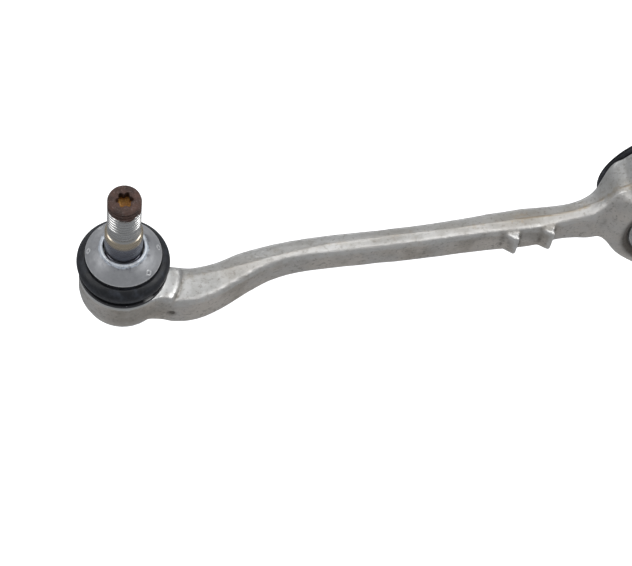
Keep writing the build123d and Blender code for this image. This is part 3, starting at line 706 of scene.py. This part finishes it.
# Old rust on the tip is almost black; on the socket's floor it is still orange.
old_rust = mixed(tree, grain["Blotches"], RUST_DARK, RUST_LIGHT)
old_rust = mixed(tree, wear_and_shade["Dirt_And_Shade"], old_rust, RUST_HOLLOW)
old_rust = laid_over(tree, old_rust, wear_and_shade["Rubbed"], 0.25, RUST_EDGE)
old_rust = laid_over(tree, old_rust, grain["Speckle"], 0.3, RUST_SPECK)
inside = product(
    tree, spread(tree, around, 4.0 * MM, 3.4 * MM),
    spread(tree, z, STUD_TOP - 3.2 * MM, STUD_TOP - 4.2 * MM))
fresh = mixed(tree, grain["Blotches"], ORANGE_DARK, ORANGE_LIGHT)
old_rust = mixed(tree, inside, old_rust, fresh)
tree.links.new(mixed(tree, rust, colour, old_rust), shader["Base Color"])
tree.links.new(spread(tree, rust, 0, 1, 1.0, 0.25), shader["Metallic"])
bare = math_node(tree, "MULTIPLY_ADD", turning, 0.20, 0.16)
rusty = math_node(tree, "SUBTRACT", 0.72, product(tree, grain["Speckle"], 0.3))
rough = sockets(tree, "ShaderNodeMix", {"data_type": "FLOAT"}, _0=rust, _2=bare, _3=rusty)[0]
tree.links.new(rough, shader["Roughness"])
crust = product(tree, grain["Height"], math_node(tree, "MULTIPLY_ADD", rust, 1.2, 0.1))
height = math_node(tree, "ADD", product(tree, turning, 0.35), crust)
tree.links.new(relief(tree, height, 0.12 * MM, 0.7), shader["Normal"])

stud = new_piece("stud", ring_mesh("stud", rows, TURN_STEPS))
grown(stud, thread_tree, Pitch=THREAD_PITCH, Depth=THREAD_DEPTH, Low=THREAD_LOW, High=STUD_TOP,
      Run_Out=THREAD_RUN_OUT, Least_Radius=THREAD_LEAST_R, Swollen=SWOLLEN_LOW, Material=steel)
stud.data.transform(Matrix.Translation(BALL))
stud.data.shade_smooth()
store_bend(stud.data, 1)
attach(stud, "stud")
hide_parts("ball_stud")

# ---- Cover disc ----------------------------------------------------------------------------------
# Domed steel pressing, zinc plated, pressed over the boot's neck.  An upright collar stands round the
# shank, and four punch marks near the rim hold it to the insert.
PUNCH_ANGLES = (1, 125, 174, 309)
PUNCH_RING = 14.7 * MM
PUNCH_DEEP, BURR_HIGH = 0.8 * MM, 0.22 * MM
PUNCH_R, BURR_R = 0.42 * MM, 0.68 * MM
DISC_R = 16.2 * MM

outline = rounded([
    (8.65, 19.6, 0), (8.65, 26.3, 0.3), (9.7, 26.3, 0.45), (10.3, 25.2, 0.9), (12.6, 23.9, 1.6),
    (15.0, 21.6, 1.6), (16.2, 19.9, 0.25), (15.7, 19.55, 0.25), (13.6, 21.2, 1.2),
    (11.0, 23.4, 1.0), (9.15, 23.1, 0.4), (9.15, 19.6, 0)])
disc_mesh = closed_ring("cover_disc", outline, 0.45 * MM, 192)
points = points_of(disc_mesh)
outer = points[:, 2] > 19.75 * MM + (DISC_R - np.hypot(points[:, 0], points[:, 1])) * 0.55
for degrees in PUNCH_ANGLES:
    a = math.radians(degrees)
    away = np.hypot(points[:, 0] - PUNCH_RING * math.cos(a), points[:, 1] - PUNCH_RING * math.sin(a))
    dent = np.exp(-(away / PUNCH_R) ** 4)
    burr = np.exp(-((away - BURR_R) / (0.2 * MM)) ** 2)
    points[:, 2] += outer * (BURR_HIGH * burr - PUNCH_DEEP * dent)
disc_mesh.vertices.foreach_set("co", points.ravel())
disc_mesh.transform(Matrix.Translation(BALL))
disc_mesh.update()

ZINC_DARK, ZINC_LIGHT = (0.31, 0.315, 0.33, 1), (0.40, 0.405, 0.42, 1)
ZINC_COLLAR, ZINC_GRIME = (0.66, 0.72, 0.80, 1), (0.13, 0.13, 0.15, 1)
ZINC_SPECK, ZINC_EDGE = (0.22, 0.22, 0.25, 1), (0.85, 0.86, 0.86, 1)

zinc, tree, shader = new_material("zinc_disc", Metallic=0.6)
grain = use_group(tree, grain_group, Scale=1500.0, Blotch=170.0)
wear_and_shade = use_group(tree, wear_and_shade_group, Breakup=700.0)
place = object_space(tree)
local = about_ball(tree)
z = sockets(tree, "ShaderNodeSeparateXYZ", _0=local)[2]
ragged = math_node(tree, "MULTIPLY_ADD", noise(tree, place, 500, 4), 1.2 * MM, z)
collar = spread(tree, ragged, 25.6 * MM, 26.2 * MM)
grimy = product(
    tree, spread(tree, z, 23.6 * MM, 25.0 * MM),
    spread(tree, noise(tree, place, 380, 5), 0.5, 0.62))
colour = mixed(tree, grain["Blotches"], ZINC_DARK, ZINC_LIGHT)
colour = mixed(tree, collar, colour, ZINC_COLLAR)
colour = laid_over(tree, colour, grimy, 0.65, ZINC_GRIME)
colour = laid_over(tree, colour, grain["Speckle"], 0.25, ZINC_SPECK)
colour = laid_over(tree, colour, wear_and_shade["Rubbed"], 0.7, ZINC_EDGE)
tree.links.new(colour, shader["Base Color"])
tree.links.new(spread(tree, grain["Blotches"], 0, 1, 0.54, 0.44), shader["Roughness"])
tree.links.new(relief(tree, grain["Height"], 0.05 * MM, 0.5), shader["Normal"])

disc = new_piece("disc", disc_mesh, zinc)
store_bend(disc_mesh, 2)
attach(disc, "boot_collar")
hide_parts("cover_disc")

# ---- Dust boot -----------------------------------------------------------------------------------
# Moulded black rubber bellows, dusty on its crown.  Its foot sits in the housing's groove and its neck
# closes on the insert under the disc; it is two pieces here, which meet at the widest ring.
WAIST_Z = 13.3
lower_boot = rounded([
    (15.2, 6.0, 0.2), (17.5, 6.0, 0.2), (17.5, 8.9, 0.2), (18.1, 9.1, 0.4), (18.7, 9.7, 0.5),
    (18.35, 10.1, 0.3), (19.25, 11.3, 1.0), (19.7, WAIST_Z, 0), (18.3, WAIST_Z, 0), (17.8, 11.2, 0.8),
    (16.7, 9.9, 0.4), (16.7, 9.55, 0.2), (16.4, 9.5, 0.1), (16.4, 8.6, 0.1), (15.2, 8.6, 0.2)], steps=5)
upper_boot = rounded([
    (18.3, WAIST_Z, 0), (19.7, WAIST_Z, 0), (19.55, 15.2, 1.2), (18.3, 16.9, 1.2), (16.6, 17.75, 0.8),
    (15.6, 17.5, 0.4), (14.9, 17.9, 0.5), (12.2, 17.7, 0.4), (10.9, 17.8, 0.3), (10.9, 18.9, 0.2),
    (9.3, 18.9, 0.2), (9.3, 15.6, 0.2), (11.0, 15.0, 0.5), (14.0, 16.1, 0.8), (16.6, 15.9, 1.0),
    (18.0, 14.9, 0.8)], steps=5)

RUBBER_BLACK, RUBBER_DUST = (0.008, 0.009, 0.012, 1), (0.036, 0.042, 0.056, 1)
RUBBER_SPECK, RUBBER_DIRT = (0.12, 0.12, 0.13, 1), (0.10, 0.085, 0.065, 1)

rubber, tree, shader = new_material("black_rubber", Specular_IOR_Level=0.45)
grain = use_group(tree, grain_group, Scale=1100.0, Blotch=130.0)
wear_and_shade = use_group(tree, wear_and_shade_group, Breakup=500.0)
place = object_space(tree)
streaks = noise(tree, place, 240, 6, 0.7)
dusty = product(tree, grain["Blotches"], spread(tree, streaks, 0.42, 0.72))
colour = mixed(tree, dusty, RUBBER_BLACK, RUBBER_DUST)
colour = laid_over(tree, colour, grain["Speckle"], 0.08, RUBBER_SPECK)
colour = laid_over(tree, colour, wear_and_shade["Dirt_And_Shade"], 0.35, RUBBER_DIRT)
tree.links.new(colour, shader["Base Color"])
tree.links.new(spread(tree, streaks, 0.3, 0.7, 0.36, 0.58), shader["Roughness"])
tree.links.new(relief(tree, grain["Height"], 0.05 * MM, 0.5), shader["Normal"])

for name, outline, ends, heights in (
        ("boot_lower", lower_boot, ("arm", "boot"), (8.9, WAIST_Z)),
        ("boot_upper", upper_boot, ("boot", "boot_collar"), (WAIST_Z, 15.4))):
    mesh = closed_ring(name, outline, 0.5 * MM, 160)
    mesh.transform(Matrix.Translation(BALL))
    half = new_piece(name, mesh, rubber)
    store_bend(mesh, 2)
    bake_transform(half)
    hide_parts("dust_boot")

# ---- Lower clamp ring ----------------------------------------------------------------------------
# Two turns of flat spring-steel wire, black coated, that hold the boot's foot in its groove.  Its upper
# end stops square on the near side, where the coating is chipped and the steel shows.
RING_LOW, RING_HIGH = (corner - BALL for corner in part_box("boot_clamp_lower"))
WIRE_WIDE = (RING_HIGH.z - RING_LOW.z) / 2 - 0.06 * MM
WIRE_THICK = 1.25 * MM
WIRE_ROUND = 0.22 * MM
WIRE_PATH_R = RING_HIGH.x - 0.68 * MM
WIRE_RISE = WIRE_WIDE * 0.97
RING_TURNS = 1.93
RING_END = math.radians(-61.5)

ring_tree, given, wanted = geometry_tree("flat_wire_ring", [
    ("Turns", RING_TURNS), ("Radius", WIRE_PATH_R), ("Rise", WIRE_RISE), ("Width", WIRE_WIDE),
    ("Thickness", WIRE_THICK)])
path = sockets(
    ring_tree, "GeometryNodeCurveSpiral", Resolution=120, Rotations=given["Turns"],
    Start_Radius=given["Radius"], End_Radius=given["Radius"], Height=given["Rise"])[0]
profile = sockets(
    ring_tree, "GeometryNodeCurvePrimitiveQuadrilateral", Width=given["Thickness"], Height=given["Width"])[0]
profile = sockets(
    ring_tree, "GeometryNodeFilletCurve", {"mode": "POLY"}, Curve=profile, Count=3, Radius=WIRE_ROUND)[0]
wire = sockets(
    ring_tree, "GeometryNodeCurveToMesh", Curve=path, Profile_Curve=profile, Fill_Caps=True)[0]
end_tree(ring_tree, wire, given, wanted)

COATING_DARK, COATING_LIGHT = (0.012, 0.012, 0.014, 1), (0.03, 0.03, 0.034, 1)
BARE_STEEL = (0.55, 0.55, 0.54, 1)

coated, tree, shader = new_material("black_spring_steel", Metallic=0.35)
grain = use_group(tree, grain_group, Scale=1200.0, Blotch=300.0)
chipped = spread(tree, noise(tree, object_space(tree), 900, 5), 0.69, 0.72)
place = about_ball(tree)
x, y, z = sockets(tree, "ShaderNodeSeparateXYZ", _0=place)
from_end = math_node(tree, "SUBTRACT", math_node(tree, "ARCTAN2", y, x), RING_END)
by_end = math_node(tree, "ABSOLUTE", from_end)
bright = product(tree, spread(tree, by_end, 0.17, 0.02), spread(tree, z, 7.4 * MM, 8.2 * MM))
shown = math_node(tree, "MAXIMUM", bright, product(tree, chipped, 0.35))
colour = mixed(tree, grain["Blotches"], COATING_DARK, COATING_LIGHT)
tree.links.new(mixed(tree, shown, colour, BARE_STEEL), shader["Base Color"])
tree.links.new(spread(tree, grain["Blotches"], 0, 1, 0.34, 0.5), shader["Roughness"])
tree.links.new(relief(tree, grain["Height"], 0.04 * MM, 0.5), shader["Normal"])

ring = new_piece("clamp_ring", bpy.data.meshes.new("clamp_ring"))
grown(ring, ring_tree, Turns=RING_TURNS, Radius=WIRE_PATH_R, Rise=WIRE_RISE, Width=WIRE_WIDE,
      Thickness=WIRE_THICK, Material=coated)
end_angle = RING_END - 2 * math.pi * RING_TURNS
lift = RING_LOW.z + WIRE_WIDE / 2 + 0.07 * MM
ring.data.transform(Matrix.Translation(BALL + Vector((0, 0, lift))) @ Matrix.Rotation(end_angle, 4, "Z"))
ring.data.shade_smooth()
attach(ring, "arm")
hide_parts("boot_clamp_lower")

# ---- Neck insert and upper clamp -----------------------------------------------------------------
# A turned steel insert runs on the stud inside the boot's neck, and a thin coated ring grips the rubber
# on it.  Both are hidden under the disc.
turned_steel, tree, shader = new_material("insert_steel", Metallic=1.0)
place = about_ball(tree)
marks = noise(tree, stretched(tree, place, (60, 60, 7000)), 1.0, 3)
tree.links.new(mixed(tree, marks, (0.42, 0.42, 0.42, 1), (0.60, 0.60, 0.59, 1)), shader["Base Color"])
tree.links.new(spread(tree, marks, 0, 1, 0.22, 0.42), shader["Roughness"])
tree.links.new(relief(tree, marks, 0.03 * MM, 0.6), shader["Normal"])


def finished(node, material):
    """A CAD node whose shape is right keeps it and takes the material."""
    mesh = frame["nodes"][node].data
    mesh.materials.clear()
    mesh.materials.append(material)


finished("boot_neck_insert", turned_steel)
finished("boot_clamp_upper", coated)

# ---- Closing cover, seat and seals ---------------------------------------------------------------
# Under the ball an ivory acetal seat rests on a rubber ring, and a plated pressing closes the housing.
# The housing's rim is rolled over the cover's edge.
PLATE_DARK, PLATE_LIGHT = (0.44, 0.44, 0.43, 1), (0.60, 0.60, 0.585, 1)
PLATE_SPECK = (0.26, 0.23, 0.19, 1)
IVORY_DARK, IVORY_LIGHT = (0.66, 0.63, 0.55, 1), (0.74, 0.72, 0.65, 1)

plated, tree, shader = new_material("plated_steel", Metallic=0.9)
grain = use_group(tree, grain_group, Scale=1300.0, Blotch=140.0)
colour = mixed(tree, grain["Blotches"], PLATE_DARK, PLATE_LIGHT)
colour = laid_over(tree, colour, grain["Speckle"], 0.4, PLATE_SPECK)
tree.links.new(colour, shader["Base Color"])
tree.links.new(spread(tree, grain["Blotches"], 0, 1, 0.42, 0.30), shader["Roughness"])
tree.links.new(relief(tree, grain["Height"], 0.05 * MM, 0.5), shader["Normal"])

acetal, tree, shader = new_material("seat_plastic", Metallic=0.0, Subsurface_Weight=0.05)
grain = use_group(tree, grain_group, Scale=700.0, Blotch=120.0)
tree.links.new(mixed(tree, grain["Blotches"], IVORY_DARK, IVORY_LIGHT), shader["Base Color"])
tree.links.new(spread(tree, grain["Blotches"], 0, 1, 0.4, 0.5), shader["Roughness"])

cover_outline = rounded([
    (0, -14.1, 0), (6.8, -14.1, 0.5), (7.6, -14.6, 0.4), (9.4, -14.6, 0.5), (9.9, -14.35, 0.4),
    (10.6, -14.35, 0.4), (11.1, -14.6, 0.4), (15.3, -14.6, 0.1), (15.3, -13.1, 0.1), (9.0, -13.1, 0.5),
    (7.5, -13.6, 0.4), (0, -13.6, 0)])
cover = new_piece("housing_cover", ring_mesh("housing_cover", cover_outline, 128), plated)
cover.data.transform(Matrix.Translation(BALL))
store_bend(cover.data, 2)
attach(cover, "arm")
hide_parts("closing_cover")
finished("ball_seat", acetal)
finished("seat_preload_ring", rubber)
finished("cover_seal_ring", rubber)

# ---- Bushing sleeve ------------------------------------------------------------------------------
# A plated steel can is pressed into the eye; its open end shows as a thin light rim in the bore, and the
# other end is turned out into a flange under the rubber lip.
finished("bushing_outer_sleeve", plated)
finished("bushing_cage", plated)

# ---- Bushing core --------------------------------------------------------------------------------
# Extruded aluminium sleeve that the bolt clamps.  Its end faces are serrated to bite the bracket.
CORE_R, CORE_BORE_R, CORE_HALF, CORE_EDGE = 10.5, 6.15, 21.0, 0.8
TEETH_COUNT = 48
TOOTH_DEEP = 0.35 * MM
TOOTH_RUN_IN = 0.5 * MM
TO_Y = Matrix.Rotation(math.radians(-90), 4, "X")

core_outline = rounded([
    (CORE_BORE_R, CORE_EDGE - CORE_HALF, 0.2), (CORE_BORE_R + CORE_EDGE, -CORE_HALF, 0.2),
    (CORE_R - CORE_EDGE, -CORE_HALF, 0.2), (CORE_R, CORE_EDGE - CORE_HALF, 0.2),
    (CORE_R, CORE_HALF - CORE_EDGE, 0.2), (CORE_R - CORE_EDGE, CORE_HALF, 0.2),
    (CORE_BORE_R + CORE_EDGE, CORE_HALF, 0.2), (CORE_BORE_R, CORE_HALF - CORE_EDGE, 0.2)])
core_mesh = closed_ring("core", core_outline, 0.8 * MM, TEETH_COUNT * 8)

serration_tree, given, wanted = geometry_tree("radial_serrations", [
    ("Count", TEETH_COUNT), ("Depth", TOOTH_DEEP), ("Face", CORE_HALF * MM), ("Reach", TOOTH_RUN_IN)])
position = sockets(serration_tree, "GeometryNodeInputPosition")[0]
x, y, z = sockets(serration_tree, "ShaderNodeSeparateXYZ", _0=position)
turn = math_node(serration_tree, "DIVIDE", math_node(serration_tree, "ARCTAN2", y, x), 2 * math.pi)
wave = math_node(serration_tree, "PINGPONG", product(serration_tree, turn, given["Count"]), 0.5)
on_face = spread(
    serration_tree, math_node(serration_tree, "ABSOLUTE", z),
    math_node(serration_tree, "SUBTRACT", given["Face"], given["Reach"]), given["Face"])
sink = product(serration_tree, product(serration_tree, wave, 2.0), on_face)
sink = product(serration_tree, sink, given["Depth"])
sink = product(serration_tree, sink, product(serration_tree, math_node(serration_tree, "SIGN", z), -1))
offset = sockets(serration_tree, "ShaderNodeCombineXYZ", Z=sink)[0]
cut = sockets(
    serration_tree, "GeometryNodeSetPosition", Geometry=given["Geometry"], Offset=offset)[0]
end_tree(serration_tree, cut, given, wanted)

CORE_DARK, CORE_LIGHT = (0.58, 0.58, 0.57, 1), (0.70, 0.70, 0.69, 1)
CORE_SPECK = (0.32, 0.30, 0.27, 1)

drawn, tree, shader = new_material("core_aluminium", Metallic=0.95)
grain = use_group(tree, grain_group, Scale=1300.0, Blotch=130.0)
lines = noise(tree, stretched(tree, object_space(tree), (2200, 50, 2200)), 1.0, 3)
colour = mixed(tree, grain["Blotches"], CORE_DARK, CORE_LIGHT)
colour = laid_over(tree, colour, grain["Speckle"], 0.35, CORE_SPECK)
tree.links.new(colour, shader["Base Color"])
tree.links.new(spread(tree, lines, 0.3, 0.7, 0.26, 0.42), shader["Roughness"])
tree.links.new(relief(tree, lines, 0.04 * MM, 0.5), shader["Normal"])

core = new_piece("core", core_mesh)
grown(core, serration_tree, Count=float(TEETH_COUNT), Depth=TOOTH_DEEP, Face=CORE_HALF * MM,
      Reach=TOOTH_RUN_IN, Material=drawn)
core.data.transform(TO_Y)
core.data.shade_smooth()
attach(core, "bushing_core")
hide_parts("bushing_inner_sleeve")

# ---- Bushing rubber ------------------------------------------------------------------------------
# Rubber bonded between the core and the cage.  It dips between them at each end, with moulded ribs, and
# its two hollows hold the damping fluid.
RIB_COUNT = 20
RIB_HEIGHT = 0.35 * MM
RIB_RING = 18.2 * MM
RIBS_FROM_Y = 8.5 * MM
RUBBER_VOXEL = 0.55 * MM

dense = new_piece("bushing_rubber_body", merged("bushing_rubber"), rubber)
even = dense.modifiers.new("even", "REMESH")
even.mode, even.voxel_size = "VOXEL", RUBBER_VOXEL
baked(dense)
points = points_of(dense.data)
near = Neighbours(dense.data)
for _ in range(5):
    points += 0.5 * (near.mean(points) - points)
reach = np.hypot(points[:, 0], points[:, 2])
angle = np.arctan2(points[:, 2], points[:, 0])
band = np.exp(-((reach - RIB_RING) / (2.4 * MM)) ** 4) * (np.abs(points[:, 1]) > RIBS_FROM_Y)
points[:, 1] += np.sign(points[:, 1]) * band * RIB_HEIGHT * np.maximum(0, np.cos(RIB_COUNT * angle)) ** 2
dense.data.vertices.foreach_set("co", points.ravel())
dense.data.update()
dense.data.materials.clear()
dense.data.materials.append(rubber)
dense.data.shade_smooth()
store_bend(dense.data, 3)
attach(dense, "arm")
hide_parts("bushing_rubber")

# ---- Bushing lip ---------------------------------------------------------------------------------
# Black rubber ring moulded over the sleeve's flange, with two shallow grooves; it stands just clear of
# the eye's far rim.
LIP_LOW, LIP_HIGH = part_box("bushing_lip")
near_y, far_y = LIP_LOW.y / MM, LIP_HIGH.y / MM
lip_r, flange_top = LIP_HIGH.x / MM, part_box("bushing_outer_sleeve")[1].y / MM
sleeve_r, flange_r = 26.0, 31.0
lip_outline = rounded([
    (sleeve_r, flange_top, 0.1), (flange_r, flange_top, 0.1), (flange_r, near_y, 0.1),
    (lip_r - 0.9, near_y, 0.5), (lip_r, near_y + 0.9, 0.6), (lip_r, near_y + 1.6, 0.2),
    (lip_r - 0.45, near_y + 1.9, 0.2), (lip_r, near_y + 2.2, 0.2), (lip_r, far_y - 1.1, 0.8),
    (lip_r - 1.4, far_y, 0.8), (33.4, far_y, 0.2),
    (33.0, far_y - 0.5, 0.3), (32.0, far_y - 0.5, 0.3), (31.6, far_y, 0.2),
    (sleeve_r + 1.6, far_y, 0.8), (sleeve_r, far_y - 0.8, 0.5)])
lip = new_piece("lip", closed_ring("lip", lip_outline, 0.6 * MM, 224), rubber)
lip.data.transform(TO_Y)
store_bend(lip.data, 2)
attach(lip, "arm")
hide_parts("bushing_lip")

# ---- Fluid channels and travel stops -------------------------------------------------------------
# Glass-filled nylon shells over the cage's windows and blocks that limit the core's travel, all inside
# the rubber.
nylon, tree, shader = new_material("channel_plastic")
grain = use_group(tree, grain_group, Scale=900.0, Blotch=150.0)
tree.links.new(
    mixed(tree, grain["Blotches"], (0.02, 0.02, 0.022, 1), (0.05, 0.05, 0.055, 1)), shader["Base Color"])
tree.links.new(spread(tree, grain["Blotches"], 0, 1, 0.45, 0.6), shader["Roughness"])
for node in ("fluid_channel_outer_half", "fluid_channel_inner_half", "travel_stop_outer",
             "travel_stop_inner"):
    finished(node, nylon)
